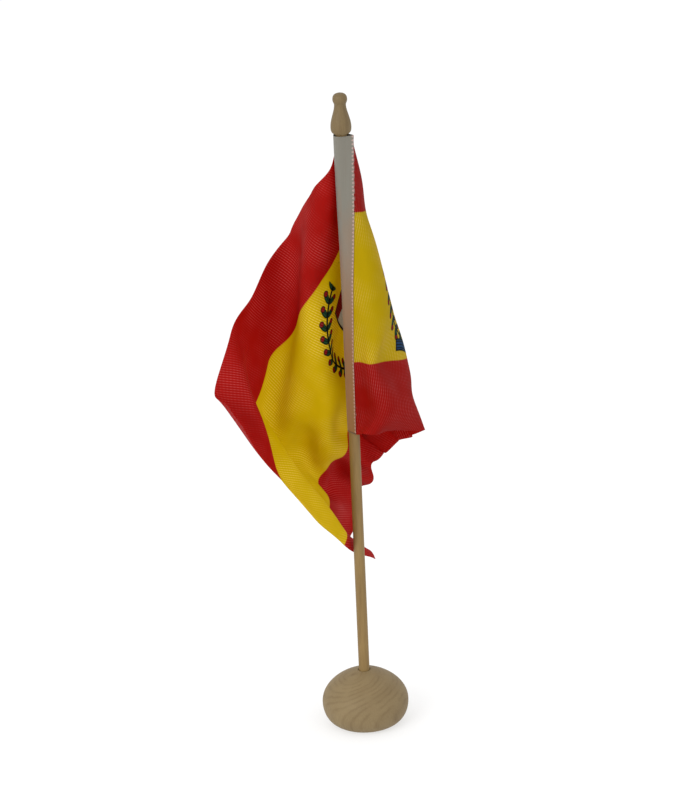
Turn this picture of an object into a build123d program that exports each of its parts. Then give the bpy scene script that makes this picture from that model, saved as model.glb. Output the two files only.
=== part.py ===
from build123d import *
from math import cos, radians, sin
import os

# Desk flag stand: a turned wooden foot, a dowel staff, a turned finial and a small printed
# flag whose white hoist sleeve slips over the staff.  Millimetres, +Z up.  The origin is the
# centre of the foot's flat underside, and the staff stands on the Z axis.

# ---------------------------------------------------------------- driving dimensions
STAFF_D = 5.0              # dowel diameter
FIT = 0.05                 # radial clearance of the staff in its two sockets
STAFF_CHAMFER = 0.4

FOOT_D = 40.0              # widest diameter of the foot
FOOT_FLAT_R = 13.0         # radius of the flat underside
FOOT_WIDEST_Z = 10.2       # height of the widest plane
FOOT_DOME_Z = 26.8         # where the dome's outline would meet the axis
FOOT_RIM_Z = 26.0          # height of the socket's mouth
FOOT_SOCKET_FLOOR_Z = 10.0 # the blind socket leaves this much wood under the staff
MOUTH_CHAMFER = 0.4        # broken edge round each socket's mouth

# The foot's outline is two curves, each given by four points as radius and height: the first
# and last lie on the curve, and the two between them pull it.
FOOT_UNDER = [(FOOT_FLAT_R, 0), (17.2, 0.5), (FOOT_D / 2, 4.6), (FOOT_D / 2, FOOT_WIDEST_Z)]
FOOT_DOME = [(FOOT_D / 2, FOOT_WIDEST_Z), (FOOT_D / 2, 18.2), (10.5, 24.2), (0, FOOT_DOME_Z)]

# The finial's outline is four such curves, given as radius and depth below its top.
FINIAL_H = 18.2
FINIAL_LIP_R = 3.5         # radius of the flat ring round the socket's mouth
FINIAL_SOCKET_DEPTH = 9.0
FINIAL_BALL = [(0, 0), (2.4, 0), (3.25, 1.0), (3.25, 2.8)]
FINIAL_NECK = [(3.25, 2.8), (3.25, 4.0), (2.6, 4.4), (2.6, 5.3)]
FINIAL_SKIRT = [(2.6, 5.3), (2.6, 8.1), (4.6, 11.8), (4.6, 15.4)]
FINIAL_EDGE = [(4.6, 15.4), (4.6, 17.2), (4.2, 17.8), (FINIAL_LIP_R, FINIAL_H)]
FINIAL_GAP = 0.8           # bare staff between the sleeve and the finial

FLAG_HOIST = 140.0         # height of the cloth along the staff
FLAG_TOP_Z = 286.0         # top corner of the hoist
FLAG_T = 0.5               # the cloth's solid is thicker than real polyester, for collision
FLAG_EASE = 0.5            # how far its smooth surface may pass from the places in HANG_LINES

SLEEVE_BORE_R = STAFF_D / 2 + 0.10   # running fit on the staff
SLEEVE_WALL = 0.25
SLEEVE_REACH = 5.3         # axis to the sewn edge of the folded tape
SLEEVE_LIP_R = 0.4         # half thickness of the sewn edge
HOLLOW_SHARE = 0.85        # the hollow beside the bore, as a share of the bore's radius

STITCH_PITCH = 3.5
STITCH_LENGTH = 2.3
STITCH_D = 0.35

# The sewn edge of the sleeve twists down the staff: it starts on the right and comes round
# to the front.  Drop below the top corner, and bearing from +X towards -Y in degrees.
SEAM_TWIST = [(0, 15), (12, 25), (36, 38), (68, 62), (104, 76), (140, 80)]

# How the cloth hangs.  Each line runs down the cloth, parallel to the hoist, and holds the
# places of its points at the five drops below the top edge.  They go from near the seam to
# the free edge.
DROPS = [0, 35, 70, 105, 140]
HANG_LINES = [
    [(1, 6.5, 281), (9, 6, 249), (13, -3, 215), (12, -9, 181), (12, -11, 146)],
    [(-8, 2, 270), (7, 15, 245), (18, 8, 213), (18, -3, 179), (20, -7, 146)],
    [(-15, 0, 260), (-1, 18, 238), (17, 20, 209), (25, 8, 177), (29, -3, 145)],
    [(-21, 6, 247), (-7, 10, 224), (6, 28, 200), (24, 24, 171), (31, 11, 140)],
    [(-28, 13, 234), (-15, 4, 210), (-4, 22, 187), (14, 34, 161), (22, 15, 133)],
    [(-36, 12, 222), (-24, 3, 197), (-9, 11, 173), (3, 34, 149), (15, 28, 123)],
    [(-44, 0, 211), (-33, 8, 183), (-18, 4, 158), (-4, 24, 134), (10, 38, 110)],
    [(-52, -15, 200), (-41, -5, 172), (-30, 2, 144), (-12, 17, 119), (0, 37, 95)],
    [(-59, -33, 181), (-43, -25, 158), (-30, -6, 132), (-15, 8, 107), (-1, 30, 83)],
    [(-48, -58, 175), (-32, -49, 144), (-20, -29, 117), (-7, -4, 92), (7, 20, 73)],
]

# ---------------------------------------------------------------- worked-out values
staff_r = STAFF_D / 2
socket_r = staff_r + FIT
finial_bottom_z = FLAG_TOP_Z + FINIAL_GAP
finial_top_z = finial_bottom_z + FINIAL_H
staff_top_z = finial_bottom_z + FINIAL_SOCKET_DEPTH


def seam_bearing(drop):
    """Bearing of the sewn edge, in degrees from +X towards -Y, at a drop below the top."""
    for (upper, start), (lower, end) in zip(SEAM_TWIST, SEAM_TWIST[1:]):
        if drop <= lower:
            return start + (end - start) * (drop - upper) / (lower - upper)
    return SEAM_TWIST[-1][1]


def seam_point(drop, reach):
    """A point on the sleeve's sewn side, at a drop below the top and a reach from the axis."""
    bearing = radians(seam_bearing(drop))
    return (reach * cos(bearing), -reach * sin(bearing), FLAG_TOP_Z - drop)


# ---------------------------------------------------------------- foot
with BuildPart() as foot:
    with BuildSketch(Plane.XZ):
        with BuildLine():
            Bezier(*FOOT_UNDER)
            Bezier(*FOOT_DOME)
            Polyline((0, FOOT_DOME_Z), (0, 0), (FOOT_FLAT_R, 0))
        make_face()
    revolve(axis=Axis.Z)
    with Locations((0, 0, FOOT_RIM_Z)):
        CounterSinkHole(
            radius=socket_r,
            counter_sink_radius=socket_r + MOUTH_CHAMFER,
            depth=FOOT_RIM_Z - FOOT_SOCKET_FLOOR_Z,
            counter_sink_angle=90,
        )
foot.part.label = "foot"

# ---------------------------------------------------------------- staff
with BuildPart() as staff:
    with BuildSketch(Plane.XY.offset(FOOT_SOCKET_FLOOR_Z)):
        Circle(staff_r)
    extrude(amount=staff_top_z - FOOT_SOCKET_FLOOR_Z)
    chamfer(staff.edges().filter_by(GeomType.CIRCLE), STAFF_CHAMFER)
staff.part.label = "staff"

# ---------------------------------------------------------------- finial
def below_top(curve):
    """The points of one of the finial's curves, in the plane of its outline."""
    return [(radius, finial_top_z - depth) for radius, depth in curve]


with BuildPart() as finial:
    with BuildSketch(Plane.XZ):
        with BuildLine():
            for curve in (FINIAL_BALL, FINIAL_NECK, FINIAL_SKIRT, FINIAL_EDGE):
                Bezier(*below_top(curve))
            Polyline(*below_top([(FINIAL_LIP_R, FINIAL_H), (0, FINIAL_H), (0, 0)]))
        make_face()
    revolve(axis=Axis.Z)
    with Locations(Location((0, 0, finial_bottom_z), (180, 0, 0))):
        CounterSinkHole(
            radius=socket_r,
            counter_sink_radius=socket_r + MOUTH_CHAMFER,
            depth=FINIAL_SOCKET_DEPTH,
            counter_sink_angle=90,
        )
finial.part.label = "finial"

# ---------------------------------------------------------------- hoist sleeve
# The tape wraps the staff and closes on itself at the sewn edge: a drop-shaped section that
# turns with the twist.  The hollow is the same section, one wall smaller, run past both ends.
def drop_section(drop, height, tube_r, lip_r):
    """Sketch the drop-shaped outline of the tape, tangent to the tube and to the sewn edge."""
    bearing = radians(seam_bearing(drop))
    lip_reach = SLEEVE_REACH - SLEEVE_LIP_R
    with BuildSketch(Plane.XY.offset(height)) as section:
        Circle(tube_r)
        with Locations((lip_reach * cos(bearing), -lip_reach * sin(bearing))):
            Circle(lip_r)
        make_hull()
    return section.sketch


SLEEVE_SECTIONS = 8
sleeve_drops = [FLAG_HOIST * index / (SLEEVE_SECTIONS - 1) for index in range(SLEEVE_SECTIONS)]
with BuildPart() as hoist_sleeve:
    loft([
        drop_section(drop, FLAG_TOP_Z - drop, SLEEVE_BORE_R + SLEEVE_WALL, SLEEVE_LIP_R)
        for drop in sleeve_drops
    ])
    loft(
        [
            drop_section(drop, FLAG_TOP_Z - drop, HOLLOW_SHARE * SLEEVE_BORE_R, SLEEVE_LIP_R - SLEEVE_WALL)
            for drop in sleeve_drops
        ],
        mode=Mode.SUBTRACT,
    )
    with BuildSketch(Plane.XY.offset(FLAG_TOP_Z)):
        Circle(SLEEVE_BORE_R)
    extrude(amount=-FLAG_HOIST, mode=Mode.SUBTRACT)
hoist_sleeve.part.label = "hoist_sleeve"

# ---------------------------------------------------------------- flag
seam_line = [seam_point(drop, SLEEVE_REACH) for drop in DROPS]
with BuildPart() as flag:
    cloth = Face.make_surface_from_array_of_points(
        [[Vector(*point) for point in line] for line in [seam_line] + HANG_LINES], tol=FLAG_EASE
    )
    thicken(cloth, amount=FLAG_T / 2, both=True)
flag.part.label = "flag"

# ---------------------------------------------------------------- seam stitches
# Short threads, half sunk in both faces of the sewn edge.
def stitch_point(drop, side):
    """A point on the row of stitches, on one face of the sewn edge (side is 1 or -1)."""
    bearing = radians(seam_bearing(drop))
    x, y, z = seam_point(drop, SLEEVE_REACH - SLEEVE_LIP_R)
    return Vector(x + side * SLEEVE_LIP_R * sin(bearing), y + side * SLEEVE_LIP_R * cos(bearing), z)


stitch_count = int(FLAG_HOIST / STITCH_PITCH)
end_margin = (FLAG_HOIST - (stitch_count - 1) * STITCH_PITCH - STITCH_LENGTH) / 2
with BuildPart() as seam_stitches:
    for index in range(stitch_count):
        for side in (1, -1):
            upper = stitch_point(end_margin + index * STITCH_PITCH, side)
            lower = stitch_point(end_margin + index * STITCH_PITCH + STITCH_LENGTH, side)
            with BuildSketch(Plane(upper, z_dir=lower - upper)):
                Circle(STITCH_D / 2)
            extrude(amount=(lower - upper).length)
seam_stitches.part.label = "seam_stitches"

# ---------------------------------------------------------------- output
os.makedirs("parts", exist_ok=True)
for piece in (foot, staff, finial, hoist_sleeve, flag, seam_stitches):
    export_step(piece.part, f"parts/{piece.part.label}.step")
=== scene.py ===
import math

import bpy
import numpy as np
from mathutils import Matrix, Vector


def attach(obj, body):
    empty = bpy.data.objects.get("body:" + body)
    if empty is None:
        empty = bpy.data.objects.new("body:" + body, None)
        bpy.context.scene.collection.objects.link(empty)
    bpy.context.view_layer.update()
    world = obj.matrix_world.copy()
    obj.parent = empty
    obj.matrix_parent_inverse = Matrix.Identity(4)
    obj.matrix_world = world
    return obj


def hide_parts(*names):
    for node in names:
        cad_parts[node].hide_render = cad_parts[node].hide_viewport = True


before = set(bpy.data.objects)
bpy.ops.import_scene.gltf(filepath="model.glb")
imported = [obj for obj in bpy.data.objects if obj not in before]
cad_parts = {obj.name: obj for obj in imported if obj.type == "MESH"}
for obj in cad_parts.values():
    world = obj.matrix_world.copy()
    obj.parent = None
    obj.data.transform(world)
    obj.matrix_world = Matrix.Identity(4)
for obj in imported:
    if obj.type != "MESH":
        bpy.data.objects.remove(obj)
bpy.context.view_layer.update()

MM = 0.001

# Desk flag stand.  Lengths in this file are in millimetres until a mesh is made, +Z up, the
# staff on the Z axis.  The cloth is described by two lengths measured on it: its fly, from
# the sleeve's sewn edge to the free edge, and its drop, from the top edge down.

# ---------------------------------------------------------------- camera
PITCH = math.radians(22.0)
ROLL = math.radians(-2.48)
DISTANCE = 1621.0
TARGET = Vector((-1.2, 0.0, 160.8))
back = Vector((0.0, -math.cos(PITCH), math.sin(PITCH)))
level_right = Vector((1.0, 0.0, 0.0))
level_up = back.cross(level_right)
right = level_right * math.cos(ROLL) + level_up * math.sin(ROLL)
up = level_up * math.cos(ROLL) - level_right * math.sin(ROLL)
camera = bpy.data.objects.new("camera", bpy.data.cameras.new("camera"))
bpy.context.scene.collection.objects.link(camera)
camera.data.lens = 162.0
camera.data.sensor_width = 36.0
camera.data.clip_start = 0.05
camera.data.clip_end = 50.0
place = (TARGET + back * DISTANCE) * MM
camera.matrix_world = Matrix.Translation(place) @ Matrix((right, up, back)).transposed().to_4x4()
bpy.context.scene.camera = camera
bpy.context.scene.view_settings.view_transform = "Standard"

# ---------------------------------------------------------------- how the cloth hangs
FLY = 190.0
HOIST = 140.0
TOP_Z = 286.0
REACH = 5.3            # staff's axis to the sleeve's sewn edge
SEAM_DROPS = [0, 12, 36, 68, 104, 140]
SEAM_BEARINGS = [15, 25, 38, 62, 76, 80]   # degrees from +X towards -Y

# The settling works in units of its own, which only have to match each other.  A stage is a
# number of steps, the pull towards the hanging places, the stiffness and the momentum.
COARSE = 5.0           # spacing of the cloth's points while it takes its shape
FINE = 2.5             # and in the end
COARSE_STAGES = [(600, 2.0, 0.4, 0.95), (1200, 2.5, 0.2, 0.97)]
FINE_STAGES = [(800, 0.9, 0.4, 0.97), (300, 0.3, 1.0, 0.9)]
THREAD_PULL = 400.0
SLANTING_SHARE = 0.4   # pull of the slanting threads, as a share of the straight ones'
SLACK_PUSH = 0.08      # a slack thread's push, as a share of a tight one's pull
WEIGHT = 0.002
STAFF_CLEAR = 3.6      # least distance of the loose cloth from the staff's axis
SEWN = 3.0             # fly of the narrow strip beside the seam, which may come closer
PATCH_SIDE = 3         # each hanging place pulls a square patch of points, so many a side
THREAD_BOUND = 9.6     # upper bounds on how stiffly one point is held, which keep the steps
BEND_BOUND = 32        # short enough to be stable

# Each row runs along the fly at one drop, and says where the cloth hangs: fly, x, y, z.
# Most of these places were read off a cloth that a separate study had fitted, and rounded.
# The rest were changed.
HANG_ROWS = {
    0: [(10, -1, 5, 281), (20, -4, 1, 272), (30, -10, 0, 265), (40, -14, 5, 258),
        (52, -19, 11, 249), (65, -24, 17, 238), (80, -30, 19, 228), (95, -38, 10, 219),
        (110, -44, 0, 210), (125, -52, -10, 202), (140, -56, -19, 191), (152, -61, -26, 183),
        (165, -57, -34, 177), (178, -53, -46, 176), (190, -49, -57, 175)],
    35: [(10, 8, 3, 249), (20, 9, 13, 246), (30, 3, 18, 241), (40, -1, 12, 234),
         (52, -6, 6, 225), (65, -14, 1, 216), (80, -21, 1, 205), (95, -24, 9, 193),
         (110, -32, 15, 182), (125, -38, 5, 175), (140, -42, -7, 166), (152, -45, -16, 159),
         (165, -40, -27, 154), (178, -36, -37, 148), (190, -32, -48, 143)],
    70: [(10, 11, -5, 216), (20, 17, 3, 214), (30, 17, 13, 211), (40, 15, 22, 207),
         (52, 6, 24, 200), (65, -3, 21, 191), (80, -8, 10, 181), (95, -10, 0, 169),
         (110, -18, 1, 158), (125, -27, 3, 148), (140, -35, 5, 138), (152, -33, -3, 133),
         (165, -26, -10, 131), (178, -22, -19, 123), (190, -20, -28, 117)],
    105: [(10, 7, -10, 183), (20, 12, -4, 181), (30, 19, 3, 178), (38, 24, 9, 175),
          (52, 24, 22, 171), (65, 18, 27, 164), (80, 9, 24, 154), (95, 1, 19, 143),
          (110, -3, 19, 138), (125, -7, 14, 127), (140, -14, 19, 118), (152, -15, 13, 112),
          (165, -13, 4, 103), (178, -10, -1, 98), (190, -7, -6, 92)],
    140: [(10, 4, -12, 150), (20, 12, -10, 149), (30, 20, -4, 147), (37, 26, 0, 145),
          (45, 32, 5, 143), (55, 29, 12, 138), (65, 25, 18, 134), (80, 20, 24, 130),
          (95, 16, 31, 123), (110, 13, 34, 119), (125, 7, 38, 110), (140, 2, 38, 102),
          (152, -2, 37, 93), (165, -2, 30, 83), (178, 0, 27, 75), (190, 7, 20, 73)],
}
# Single places between the rows, on the outer fold, the creases and the free edge: fly,
# drop, x, y, z.
HANG_POINTS = [
    (16, 18, 7, 11, 261), (26, 52, 14, 14, 226), (34, 88, 21, 12, 191), (42, 122, 27, 6, 159),
    (165, 18, -46, -30, 164), (165, 52, -34, -19, 142), (165, 88, -21, -4, 114),
    (190, 18, -42, -53, 158), (190, 52, -26, -39, 130), (190, 88, -13, -17, 104),
    (190, 122, -1, 7, 82), (140, 18, -46, -13, 180), (150, 52, -36, -7, 151),
    (178, 52, -32, -29, 134), (118, 140, 9, 36, 115),
]


def seam_bearing(drop):
    """Bearing of the sleeve's sewn edge at a drop, in radians from +X towards -Y."""
    return np.radians(np.interp(drop, SEAM_DROPS, SEAM_BEARINGS))


def seam_points(drops):
    """Points at the drops, on the side of the sleeve where it is sewn, as rows x, y, z."""
    bearing = seam_bearing(drops)
    return np.stack([REACH * np.cos(bearing), -REACH * np.sin(bearing), TOP_Z - drops], -1)


def smooth_through(knots, values, places):
    """Values at the places, on a smooth cubic through the values at the knots."""
    knots = np.asarray(knots, float)
    values = np.asarray(values, float)
    slopes = np.gradient(values, knots, axis=0)
    start = np.clip(np.searchsorted(knots, places) - 1, 0, len(knots) - 2)
    shape = (-1,) + (1,) * (values.ndim - 1)
    width = (knots[start + 1] - knots[start]).reshape(shape)
    share = ((places - knots[start]) / (knots[start + 1] - knots[start])).reshape(shape)
    square = share**2
    cube = share**3
    return (
        (2 * cube - 3 * square + 1) * values[start]
        + (cube - 2 * square + share) * width * slopes[start]
        + (3 * square - 2 * cube) * values[start + 1]
        + (cube - square) * width * slopes[start + 1]
    )


def pull_threads(force, cloth, first, second, length, strength):
    """Add the pull of the threads that join two sets of the cloth's points.  A slack thread
    pushes back only weakly, because fine wrinkles take it up."""
    gap = cloth[second] - cloth[first]
    distance = np.linalg.norm(gap, axis=-1, keepdims=True) + 1e-9
    grip = np.where(distance < length, SLACK_PUSH, 1.0)
    pull = grip * strength * (distance - length) / length**2 / distance * gap
    force[first] += pull
    force[second] -= pull


def settle(flys, drops, cloth, steps, hold, stiffness, momentum):
    """Let the cloth come to rest.  Its tight threads pull back to their length and its slack
    ones give, it resists bending, it is pulled towards the hanging places, it weighs a
    little, and it stays off the staff.  Its layers don't push on each other."""
    step_fly = flys[1] - flys[0]
    step_drop = drops[1] - drops[0]
    across = math.hypot(step_fly, step_drop)
    cell = step_fly * step_drop / COARSE**2
    tight = THREAD_PULL * cell
    bend = stiffness * cell * COARSE**2 / step_fly**4
    pace = 1.0 / (tight / step_fly**2 * THREAD_BOUND + BEND_BOUND * bend + PATCH_SIDE * hold)
    held = np.array(
        [(fly, drop, x, y, z) for drop, row in HANG_ROWS.items() for fly, x, y, z in row]
        + HANG_POINTS,
        float,
    )
    column = np.round(held[:, 0] / step_fly).astype(int)
    line = np.round(held[:, 1] / step_drop).astype(int)
    beside = range(-(PATCH_SIDE // 2), PATCH_SIDE // 2 + 1)
    nearby = [
        (np.clip(column + i, 0, len(flys) - 1), np.clip(line + j, 0, len(drops) - 1))
        for i in beside
        for j in beside
    ]
    every, first, last = slice(None), slice(0, -1), slice(1, None)
    free = (flys > SEWN)[:, None]
    seam = seam_points(drops)
    speed = np.zeros_like(cloth)
    for _ in range(steps):
        force = np.zeros_like(cloth)
        pull_threads(force, cloth, (first, every), (last, every), step_fly, tight)
        pull_threads(force, cloth, (every, first), (every, last), step_drop, tight)
        pull_threads(force, cloth, (first, first), (last, last), across, tight * SLANTING_SHARE)
        pull_threads(force, cloth, (last, first), (first, last), across, tight * SLANTING_SHARE)
        curl = (cloth[:-2] - 2 * cloth[1:-1] + cloth[2:]) * bend
        force[:-2] -= curl
        force[1:-1] += 2 * curl
        force[2:] -= curl
        curl = (cloth[:, :-2] - 2 * cloth[:, 1:-1] + cloth[:, 2:]) * bend
        force[:, :-2] -= curl
        force[:, 1:-1] += 2 * curl
        force[:, 2:] -= curl
        twist = (cloth[1:, 1:] - cloth[:-1, 1:] - cloth[1:, :-1] + cloth[:-1, :-1]) * bend
        force[1:, 1:] -= twist
        force[:-1, 1:] += twist
        force[1:, :-1] += twist
        force[:-1, :-1] -= twist
        pull = hold / PATCH_SIDE * (held[:, 2:] - cloth[column, line])
        for near_column, near_line in nearby:
            np.add.at(force, (near_column, near_line), pull)
        force[..., 2] -= WEIGHT * cell
        radius = np.maximum(np.hypot(cloth[..., 0], cloth[..., 1]), 0.1)
        push = tight / step_fly**2 * np.clip(STAFF_CLEAR - radius, 0, None) * free / radius
        force[..., :2] += push[..., None] * cloth[..., :2]
        speed = momentum * speed + pace * force
        cloth = cloth + speed
        cloth[0] = seam
        speed[0] = 0
    return cloth


def even(length, step):
    """Evenly spaced places from nought to a length."""
    return np.linspace(0.0, length, int(round(length / step)) + 1)


def hang_cloth():
    """The hanging cloth's points on the fine mesh, one row for each place along the fly."""
    flys, drops = even(FLY, COARSE), even(HOIST, COARSE)
    rows = []
    for drop, row in HANG_ROWS.items():
        seam = seam_points(np.array([float(drop)]))[0]
        path = np.array([(0.0, *seam)] + row, float)
        rows.append(smooth_through(path[:, 0], path[:, 1:], flys))
    cloth = smooth_through(list(HANG_ROWS), np.array(rows), drops).swapaxes(0, 1).copy()
    for stage in COARSE_STAGES:
        cloth = settle(flys, drops, cloth, *stage)
    fine_flys, fine_drops = even(FLY, FINE), even(HOIST, FINE)
    cloth = smooth_through(flys, cloth, fine_flys)
    cloth = smooth_through(drops, cloth.swapaxes(0, 1), fine_drops).swapaxes(0, 1).copy()
    for stage in FINE_STAGES:
        cloth = settle(fine_flys, fine_drops, cloth, *stage)
    return fine_flys, fine_drops, cloth


# ---------------------------------------------------------------- meshes
def grid_object(name, points, first, second, wrap=False):
    """A mesh over a grid of points in millimetres, with a UV map that holds the grid's two
    coordinates as shares of their whole length."""
    rows, columns = points.shape[:2]
    faces = []
    spots = []
    for i in range(rows - 1):
        for j in range(columns - 1):
            corners = [(i, j), (i + 1, j), (i + 1, j + 1), (i, j + 1)]
            faces.append([a * columns + b for a, b in corners])
            spots.extend((first[a] / first[-1], second[b] / second[-1]) for a, b in corners)
    mesh = bpy.data.meshes.new(name)
    mesh.from_pydata((points.reshape(-1, 3) * MM).tolist(), [], faces)
    layer = mesh.uv_layers.new(name="cloth")
    layer.data.foreach_set("uv", np.array(spots, np.float32).ravel())
    mesh.polygons.foreach_set("use_smooth", [True] * len(faces))
    mesh.update()
    made = bpy.data.objects.new(name, mesh)
    bpy.context.scene.collection.objects.link(made)
    return made


def refine(piece, levels):
    """Subdivide a cloth mesh smoothly, keeping its UV map's corners."""
    modifier = piece.modifiers.new("smooth", "SUBSURF")
    modifier.levels = levels
    modifier.render_levels = levels
    modifier.boundary_smooth = "PRESERVE_CORNERS"


def thicken(piece, thickness):
    """Give a sheet its thickness, half on each side."""
    modifier = piece.modifiers.new("thickness", "SOLIDIFY")
    modifier.thickness = thickness * MM
    modifier.offset = 0.0


# ---------------------------------------------------------------- materials
def colour(red, green, blue):
    """A screen colour, 0 to 255, as the linear colour that a shader takes."""
    linear = [
        level / 12.92 if level <= 0.04045 else ((level + 0.055) / 1.055) ** 2.4
        for level in (red / 255, green / 255, blue / 255)
    ]
    return (*linear, 1.0)


class Field:
    """A number that a material works out at each point, so that formulas read as formulas."""

    def __init__(self, tree, socket):
        self.tree = tree
        self.socket = socket

    def math(self, operation, *others, clamp=False):
        node = self.tree.nodes.new("ShaderNodeMath")
        node.operation = operation
        node.use_clamp = clamp
        for place, value in enumerate((self, *others)):
            if isinstance(value, Field):
                self.tree.links.new(value.socket, node.inputs[place])
            else:
                node.inputs[place].default_value = value
        return Field(self.tree, node.outputs[0])

    def __add__(self, other):
        return self.math("ADD", other)

    def __sub__(self, other):
        return self.math("SUBTRACT", other)

    def __mul__(self, other):
        return self.math("MULTIPLY", other)

    def __truediv__(self, other):
        return self.math("DIVIDE", other)

    def __pow__(self, other):
        return self.math("POWER", other)

    def sin(self):
        return self.math("SINE")

    def abs(self):
        return self.math("ABSOLUTE")

    def root(self):
        return self.math("SQRT")

    def fold(self, period):
        """Distance from the nearest multiple of the period, with its sign."""
        return (self + period / 2).math("FLOORED_MODULO", period) - period / 2

    def inside(self, edge, soft):
        """1 where the number is below the edge and 0 above, over a soft border."""
        return self.math("SUBTRACT", edge).math("DIVIDE", -soft).math("ADD", 0.5, clamp=True)

    def both(self, other):
        return self.math("MULTIPLY", other)

    def either(self, other):
        return self.math("MAXIMUM", other)

    def less(self, other):
        """This mask where the other one is not."""
        return self.math("SUBTRACT", other, clamp=True)


class Recipe:
    """A material under construction."""

    def __init__(self, name):
        self.material = bpy.data.materials.new(name)
        self.material.use_nodes = True
        self.tree = self.material.node_tree
        self.shader = self.tree.nodes["Principled BSDF"]
        self.output = self.tree.nodes["Material Output"]

    def node(self, kind, **inputs):
        """A new node, its inputs set by name: a Field is linked and anything else is set."""
        node = self.tree.nodes.new(kind)
        for name, value in inputs.items():
            self.plug(node, name.replace("_", " "), value)
        return node

    def plug(self, node, name, value):
        socket = node.inputs[name]
        if isinstance(value, Field):
            self.tree.links.new(value.socket, socket)
        else:
            socket.default_value = value

    def field(self, socket):
        return Field(self.tree, socket)

    def split(self, vector_socket):
        node = self.node("ShaderNodeSeparateXYZ")
        self.tree.links.new(vector_socket, node.inputs[0])
        return [self.field(socket) for socket in node.outputs]

    def place(self):
        """The point in millimetres, in the frame that all the pieces share."""
        node = self.node("ShaderNodeTexCoord")
        return [part * 1000.0 for part in self.split(node.outputs["Object"])]

    def vector(self, x, y, z):
        node = self.node("ShaderNodeCombineXYZ")
        for name, value in zip("XYZ", (x, y, z)):
            self.plug(node, name, value)
        return self.field(node.outputs[0])

    def noise(self, x, y, z, detail=2.0, roughness=0.5):
        """Soft noise from 0 to 1, one lump for each unit of the coordinates."""
        node = self.node("ShaderNodeTexNoise", Scale=1.0, Detail=detail, Roughness=roughness)
        self.tree.links.new(self.vector(x, y, z).socket, node.inputs["Vector"])
        return self.field(node.outputs["Fac"])

    def blend(self, share, under, over):
        """The colour under, covered by the colour over by a share from 0 to 1."""
        node = self.node("ShaderNodeMix")
        node.data_type = "RGBA"
        self.plug(node, 0, share)
        for place, value in ((6, under), (7, over)):
            self.plug(node, place, value)
        return self.field(node.outputs[2])

    def bump(self, height, distance):
        """Raise the surface by the height, from 0 to 1, times a distance in millimetres."""
        node = self.node("ShaderNodeBump", Height=height, Strength=1.0, Distance=distance * MM)
        self.tree.links.new(node.outputs[0], self.shader.inputs["Normal"])
        return node

    def cloth_place(self, width):
        """The point on the flat cloth: how far across its width, and how far down it."""
        node = self.node("ShaderNodeUVMap")
        node.uv_map = "cloth"
        across, down, _ = self.split(node.outputs[0])
        return across * width, down * HOIST

    def tinted(self, tone, saturation, value):
        """The tone with its saturation and brightness multiplied."""
        node = self.node("ShaderNodeHueSaturation", Saturation=saturation, Value=value, Color=tone)
        return self.field(node.outputs[0])

    def let_light_through(self, tone, bump, share):
        """Show a share of the light that falls on the other side of the sheet."""
        through = self.node("ShaderNodeBsdfTranslucent", Color=tone)
        self.tree.links.new(bump.outputs[0], through.inputs["Normal"])
        mix = self.node("ShaderNodeMixShader")
        mix.inputs[0].default_value = share
        self.tree.links.new(self.shader.outputs[0], mix.inputs[1])
        self.tree.links.new(through.outputs[0], mix.inputs[2])
        self.tree.links.new(mix.outputs[0], self.output.inputs[0])


def wood(name, pale, dark, centre, lean, ring, ring_share, mottle, rough, knot=None):
    """Wood with growth rings round a leaning axis, fine fibres along it and a soft mottle.

    The axis goes through the centre and leans by so much in x and y for each unit of height.
    The ring is the rings' spacing, and ring_share and mottle are how dark they make the wood.
    A knot is the x, y and size of a darker spot.
    """
    recipe = Recipe(name)
    x, y, z = recipe.place()
    lean_x, lean_y = lean
    height = z - centre[2]
    across = x - centre[0] - height * lean_x
    along = y - centre[1] - height * lean_y
    wander = recipe.noise(across * 0.05, along * 0.05, z * 0.03, detail=3.0)
    radius = (across * across + along * along).root() + wander * (ring * 2.6)
    late = ((radius * (2 * math.pi / ring)).sin() * 0.5 + 0.5) ** 3.0
    late_wide = (radius * (2 * math.pi / (ring * 3.7)) + wander * 4.0).sin() * 0.5 + 0.5
    fibres = recipe.noise(across * 3.5, along * 3.5, z * 0.16, detail=3.0, roughness=0.6)
    blotch = recipe.noise(across * 0.16, along * 0.16, z * 0.06, detail=2.0)
    strength = (blotch - 0.34).math("MULTIPLY", 4.5, clamp=True)
    share = late * strength * ring_share + late_wide * (ring_share * 0.4) + (fibres - 0.5) * 0.75
    share = share + (wander - 0.5) * mottle
    if knot:
        knot_x, knot_y, knot_size = knot
        gap_x, gap_y = x - knot_x, y - knot_y
        gap = (gap_x * gap_x * 0.35 + gap_y * gap_y).root() + fibres * 0.8
        share = share + gap.inside(knot_size, knot_size * 1.6) * 0.55
    tone = recipe.blend(share.math("ADD", 0.12, clamp=True), colour(*pale), colour(*dark))
    recipe.plug(recipe.shader, "Base Color", tone)
    recipe.plug(recipe.shader, "Roughness", fibres * 0.2 + (rough - 0.1))
    recipe.shader.inputs["Specular IOR Level"].default_value = 0.3
    recipe.bump(fibres * 0.8 + late * 0.2, 0.05)
    return recipe.material


foot_wood = wood(
    "foot_wood", pale=(131, 113, 80), dark=(92, 71, 42), centre=(-5.2, -3.0, 26.0),
    lean=(0.1, -0.3), ring=2.1, ring_share=0.24, mottle=0.7, rough=0.62,
    knot=(-5.2, -3.0, 1.0),
)
staff_wood = wood(
    "staff_wood", pale=(135, 110, 66), dark=(96, 71, 36), centre=(9.0, 4.0, 100.0),
    lean=(0.004, 0.002), ring=2.4, ring_share=0.2, mottle=0.8, rough=0.55,
)
finial_wood = wood(
    "finial_wood", pale=(113, 95, 63), dark=(79, 59, 34), centre=(7.0, 3.0, 290.0),
    lean=(0.03, 0.02), ring=2.6, ring_share=0.2, mottle=0.5, rough=0.55,
)

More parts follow.
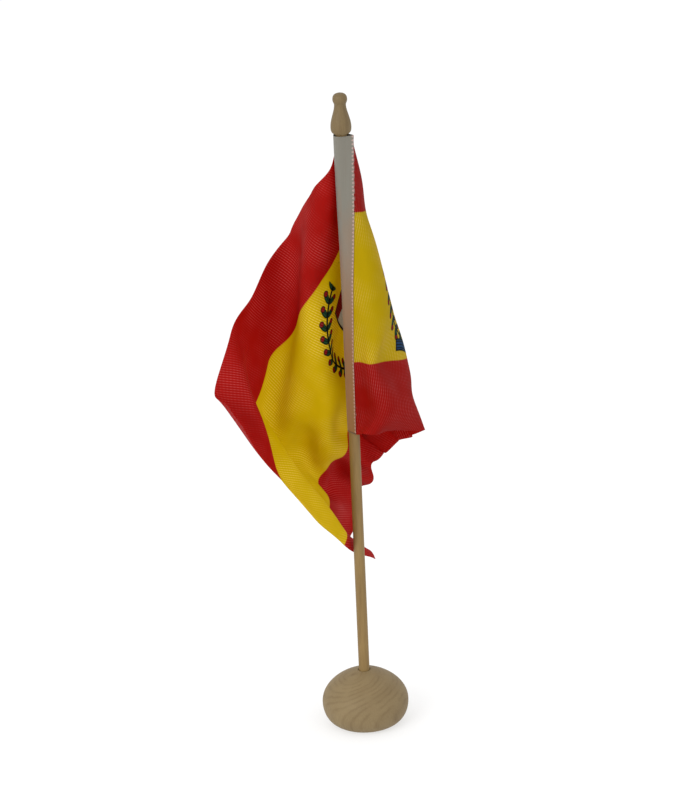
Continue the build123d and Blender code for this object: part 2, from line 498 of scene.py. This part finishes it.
# Cloth: printed polyester, woven, light showing through it.  Its colour bands run along the
# fly, and the badge is printed round a centre given by its fly and drop.
BAND_TOP = 35.0
BAND_BOTTOM = 105.0
BADGE_FLY = 55.0
BADGE_DROP = 71.0
BADGE_NARROW = 0.93    # the badge is a little wider than its own measures along the fly
WREATH_R = 28.0
WREATH_CELLS = 30
BERRY_OFF = 3.3        # the berries' distance from the wreath's stem
INK = colour(22, 34, 30)


def print_wreath(recipe, paint, a, b):
    """Print a wreath of leaves and berries, open at the top, round the badge's centre."""
    radius = (a * a + b * b).root()
    turn = a.math("ARCTAN2", b)
    cell = 2 * math.pi / WREATH_CELLS
    step = turn.fold(cell) * WREATH_R
    off = radius - WREATH_R
    gap_at_top = a.abs().inside(4.5, 0.4).both(b.inside(0.0, 0.4))
    slant_out = step - off * 0.75
    leaf_out = (slant_out * slant_out / 3.2 + (off - 2.3) * (off - 2.3) / 5.6).root()
    slant_in = step + off * 0.75
    leaf_in = (slant_in * slant_in / 3.2 + (off + 2.3) * (off + 2.3) / 5.6).root()
    leaf = leaf_out.math("MINIMUM", leaf_in)
    stem = off.abs().inside(0.55, 0.25)
    vein = slant_out.abs().inside(0.16, 0.1).either(slant_in.abs().inside(0.16, 0.1))
    wreath = leaf.inside(1.0, 0.12).either(stem).less(gap_at_top)
    paint = recipe.blend(wreath, paint, INK)
    leaf_face = leaf.inside(0.74, 0.12).less(vein).less(gap_at_top)
    paint = recipe.blend(leaf_face, paint, colour(44, 92, 62))
    berry_step = (turn + cell / 2).fold(cell) * WREATH_R
    berry_off = off.abs() - BERRY_OFF
    berry = (berry_step * berry_step + berry_off * berry_off).root()
    paint = recipe.blend(berry.inside(1.35, 0.25).less(gap_at_top), paint, INK)
    return recipe.blend(berry.inside(1.0, 0.25).less(gap_at_top), paint, colour(160, 26, 28))


def print_shield(recipe, paint, a, b):
    """Print a pale shield with a red chief and a red chevron."""
    taper = (b - 2.0).math("MAXIMUM", 0.0)
    width = a.abs() + taper * taper * 0.045
    outer = width.inside(12.4, 0.3).both((b + 1.0).abs().inside(15.6, 0.3))
    inner = width.inside(11.5, 0.3).both((b + 1.0).abs().inside(14.8, 0.3))
    chief = b.inside(-7.5, 0.3)
    chevron = (b - a.abs() * 0.7 + 1.5).abs().inside(2.6, 0.3)
    paint = recipe.blend(outer, paint, INK)
    paint = recipe.blend(inner, paint, colour(190, 186, 174))
    return recipe.blend(chief.either(chevron).both(inner), paint, colour(146, 24, 24))


def print_ribbon(recipe, paint, a, b):
    """Print a wavy blue ribbon with dark stripes, below the shield."""
    wave = b - 28.0 + (a * 0.24).sin() * 1.3
    outer = wave.abs().inside(2.9, 0.3).both(a.abs().inside(21.5, 0.3))
    inner = wave.abs().inside(2.2, 0.3).both(a.abs().inside(20.8, 0.3))
    stripes = wave.fold(1.5).abs().inside(0.22, 0.15)
    paint = recipe.blend(outer, paint, INK)
    return recipe.blend(inner.less(stripes), paint, colour(36, 82, 132))


def weave_glints(recipe, paint, u, v):
    """Lighten the print in short slanting dashes, where a thread's crest catches the light."""
    slant = ((u + v * 0.22) * (2 * math.pi / 1.15)).sin() * 0.5 + 0.5
    dash = ((v - u * 0.3) * (2 * math.pi / 1.7)).sin() * 0.5 + 0.5
    patch = recipe.noise(u * 0.045, v * 0.045, 3.0, detail=2.0)
    patch = (patch - 0.38).math("MULTIPLY", 4.0, clamp=True)
    glint = (slant ** 3.0) * (dash * 0.5 + 0.5) * patch
    return recipe.blend(glint * 0.8, paint, recipe.tinted(paint, 0.82, 1.4))


def cloth_material():
    recipe = Recipe("flag_cloth")
    u, v = recipe.cloth_place(FLY)
    waver = recipe.noise(u * 0.12, v * 0.12, 0.0) - 0.5
    edge = v + waver * 0.8
    band = (edge - (BAND_TOP + BAND_BOTTOM) / 2).abs().inside((BAND_BOTTOM - BAND_TOP) / 2, 0.5)
    paint = recipe.blend(band, colour(192, 26, 18), colour(224, 200, 4))

    a = (u - BADGE_FLY) * BADGE_NARROW
    b = v - BADGE_DROP
    paint = print_wreath(recipe, paint, a, b)
    paint = print_shield(recipe, paint, a, b)
    paint = print_ribbon(recipe, paint, a, b)
    paint = weave_glints(recipe, paint, u, v)
    shade = recipe.noise(u * 0.9, v * 0.08, 1.0, detail=3.0)
    paint = recipe.blend(shade * 0.5, paint, recipe.tinted(paint, 1.0, 0.86))

    # The weave: fine ribs along the hoist, crossed by finer ones along the fly.
    ribs = (u * (2 * math.pi / 0.55)).sin()
    picks = (v * (2 * math.pi / 0.5)).sin()
    height = (ribs * picks) * 0.25 + ribs * 0.15 + 0.5
    recipe.plug(recipe.shader, "Base Color", paint)
    recipe.plug(recipe.shader, "Roughness", height * 0.15 + 0.5)
    recipe.shader.inputs["Specular IOR Level"].default_value = 0.12
    recipe.let_light_through(paint, recipe.bump(height, 0.05), 0.65)
    return recipe.material


SLEEVE_ROUND = 21.0    # width of the tape before it is folded round the staff


def sleeve_material():
    recipe = Recipe("sleeve_satin")
    shader = recipe.shader
    u, v = recipe.cloth_place(SLEEVE_ROUND)
    ribs = (u * (2 * math.pi / 0.42)).sin() * 0.5 + 0.5
    satin = recipe.noise(u * 1.4, v * 0.05, 0.0, detail=3.0)
    cloud = recipe.noise(u * 0.2, v * 0.06, 5.0, detail=2.0)
    warm = (v + (cloud - 0.5) * 60.0 - 25.0).math("DIVIDE", 80.0, clamp=True)
    tone = recipe.blend(warm, colour(125, 123, 113), colour(150, 106, 66))
    tone = recipe.blend(satin * 0.35, tone, colour(112, 98, 82))
    # The cut edges are paler, in dots where the thread pulls them in, and a thin band at the
    # lower end is dark.
    past = (u - SLEEVE_ROUND / 2).abs() + (v * (2 * math.pi / 1.75)).sin() * 0.25
    pale = (past - 10.2).math("DIVIDE", 0.2, clamp=True)
    tone = recipe.blend(pale * 0.6, tone, colour(206, 172, 164))
    low_end = (v - (HOIST - 0.9)).math("DIVIDE", 0.5, clamp=True)
    tone = recipe.blend(low_end * 0.8, tone, colour(58, 48, 42))
    recipe.plug(shader, "Base Color", tone)
    recipe.plug(shader, "Roughness", satin * 0.2 + 0.38)
    shader.inputs["Sheen Weight"].default_value = 0.2
    shader.inputs["Specular IOR Level"].default_value = 0.35
    recipe.let_light_through(tone, recipe.bump(ribs * 0.4 + satin * 0.6, 0.06), 0.15)
    return recipe.material


def thread_material():
    recipe = Recipe("thread")
    x, y, z = recipe.place()
    ply = ((z + x * 0.7 - y * 0.7) * (2 * math.pi / 0.35)).sin() * 0.5 + 0.5
    fuzz = recipe.noise(x * 4.0, y * 4.0, z * 4.0)
    tone = recipe.blend(ply * 0.6 + fuzz * 0.3, colour(236, 210, 204), colour(196, 150, 146))
    recipe.plug(recipe.shader, "Base Color", tone)
    recipe.plug(recipe.shader, "Roughness", fuzz * 0.2 + 0.45)
    recipe.shader.inputs["Sheen Weight"].default_value = 0.3
    recipe.bump(ply, 0.06)
    return recipe.material


# ---------------------------------------------------------------- flag
flys, drops, cloth = hang_cloth()
flag = grid_object("flag_cloth", cloth, flys, drops)
flag.data.materials.append(cloth_material())
refine(flag, 2)
thicken(flag, 0.2)
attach(flag, "flag")
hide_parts("flag")

# ---------------------------------------------------------------- hoist sleeve
# The tape's path round the staff, from one sewn edge to the other: the lip's outer end, the
# tangent to the tube, the tube, and back.
TUBE_R = 2.78
LIP_HALF = 0.22        # half the gap between the tape's two sewn edges
LIP_POINTS = 8         # points on each side of the lip, of those round the whole tape
AROUND = 73
DOWN = 141             # points down the tape


def tape_path(drop):
    """Points of the folded tape at a drop, from its one edge round the staff to the other."""
    bearing = seam_bearing(drop)
    tangent = math.acos((TUBE_R - LIP_HALF) / (REACH - 0.5))
    turn = np.linspace(tangent, 2 * math.pi - tangent, AROUND - 2 * LIP_POINTS)
    slack = 0.05 * np.sin(2.0 * turn + drop * 0.045) + 0.24 * max(0.0, 1.0 - drop / 90.0)
    loose = 1.0 + slack * np.sin(turn / 2) ** 2
    tube = np.stack([TUBE_R * loose * np.cos(turn), TUBE_R * loose * np.sin(turn)], -1)
    share = np.linspace(0.0, 1.0, LIP_POINTS, endpoint=False)[:, None]
    lip_end = REACH + 0.15 + 0.1 * math.sin(drop * 2 * math.pi / 3.5)
    upper = np.array([[lip_end, LIP_HALF]]) * (1 - share) + tube[0] * share
    lower = np.array([[lip_end, -LIP_HALF]]) * (1 - share) + tube[-1] * share
    flat = np.concatenate([upper, tube, lower[::-1]])
    cos, sin = math.cos(-bearing), math.sin(-bearing)
    x = flat[:, 0] * cos - flat[:, 1] * sin
    y = flat[:, 0] * sin + flat[:, 1] * cos
    return np.stack([x, y, np.full(len(x), TOP_Z - drop)], -1)


tape_drops = np.linspace(0.0, HOIST, DOWN)
tape = np.array([tape_path(drop) for drop in tape_drops]).swapaxes(0, 1)
sleeve = grid_object("hoist_sleeve_tape", tape, np.linspace(0.0, SLEEVE_ROUND, AROUND), tape_drops)
sleeve.data.materials.append(sleeve_material())
refine(sleeve, 1)
thicken(sleeve, 0.18)
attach(sleeve, "flag")
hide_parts("hoist_sleeve")

# ---------------------------------------------------------------- seam thread
# One thread zigzags over the sewn edge, from face to face.  A stitch is its reach from the
# staff's axis and its distance to the side of the lip: one face, the edge, the other face
# and the edge again.
STITCH_PITCH = 1.75
STITCH_ROUND = [(REACH - 0.9, 0.5), (REACH + 0.1, 0.0), (REACH - 0.9, -0.5), (REACH + 0.1, 0.0)]
THREAD_D = 0.32


def seam_thread():
    curve = bpy.data.curves.new("seam_thread", "CURVE")
    curve.dimensions = "3D"
    curve.bevel_depth = THREAD_D / 2 * MM
    curve.bevel_resolution = 3
    curve.resolution_u = 4
    drops_down = np.arange(1.2, HOIST - 0.8, STITCH_PITCH / len(STITCH_ROUND))
    spline = curve.splines.new("NURBS")
    spline.points.add(len(drops_down) - 1)
    for place, drop in enumerate(drops_down):
        bearing = seam_bearing(drop)
        reach, side = STITCH_ROUND[place % len(STITCH_ROUND)]
        x = reach * math.cos(bearing) + side * math.sin(bearing)
        y = -reach * math.sin(bearing) + side * math.cos(bearing)
        spline.points[place].co = (x * MM, y * MM, (TOP_Z - drop) * MM, 1.0)
    spline.order_u = 3
    spline.use_endpoint_u = True
    made = bpy.data.objects.new("seam_thread", curve)
    bpy.context.scene.collection.objects.link(made)
    made.data.materials.append(thread_material())
    return made


thread = seam_thread()
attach(thread, "flag")
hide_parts("seam_stitches")

# ---------------------------------------------------------------- wooden parts
for node, material in (("foot", foot_wood), ("staff", staff_wood), ("finial", finial_wood)):
    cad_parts[node].data.materials.clear()
    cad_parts[node].data.materials.append(material)

# ---------------------------------------------------------------- floor, lights
SPAN = 30.0            # half the floor's width, in metres
floor_mesh = bpy.data.meshes.new("floor")
floor_mesh.from_pydata(
    [(-SPAN, -SPAN, 0), (SPAN, -SPAN, 0), (SPAN, SPAN, 0), (-SPAN, SPAN, 0)], [], [(0, 1, 2, 3)]
)
floor = bpy.data.objects.new("floor", floor_mesh)
bpy.context.scene.collection.objects.link(floor)
floor_recipe = Recipe("floor")
floor_recipe.shader.inputs["Base Color"].default_value = (0.4, 0.4, 0.4, 1.0)
floor_recipe.shader.inputs["Emission Color"].default_value = (1.0, 1.0, 1.0, 1.0)
floor_recipe.shader.inputs["Emission Strength"].default_value = 0.6
floor_recipe.shader.inputs["Roughness"].default_value = 0.9
floor_recipe.shader.inputs["Specular IOR Level"].default_value = 0.0
floor_mesh.materials.append(floor_recipe.material)

world = bpy.data.worlds.new("studio")
bpy.context.scene.world = world
world.use_nodes = True
world.node_tree.nodes["Background"].inputs["Color"].default_value = (1.0, 1.0, 1.0, 1.0)
world.node_tree.nodes["Background"].inputs["Strength"].default_value = 1.0


def soft_light(name, place, size, power):
    """A square soft light that faces the middle of the flag stand."""
    lamp = bpy.data.lights.new(name, "AREA")
    lamp.shape = "SQUARE"
    lamp.size = size
    lamp.energy = power
    made = bpy.data.objects.new(name, lamp)
    bpy.context.scene.collection.objects.link(made)
    made.location = place
    aim = Vector((0.0, 0.0, 0.15)) - made.location
    made.rotation_euler = aim.to_track_quat("-Z", "Y").to_euler()


soft_light("key", (-1.3, -1.5, 1.2), 1.2, 20.0)
soft_light("fill", (1.2, -1.2, 0.9), 1.2, 3.0)
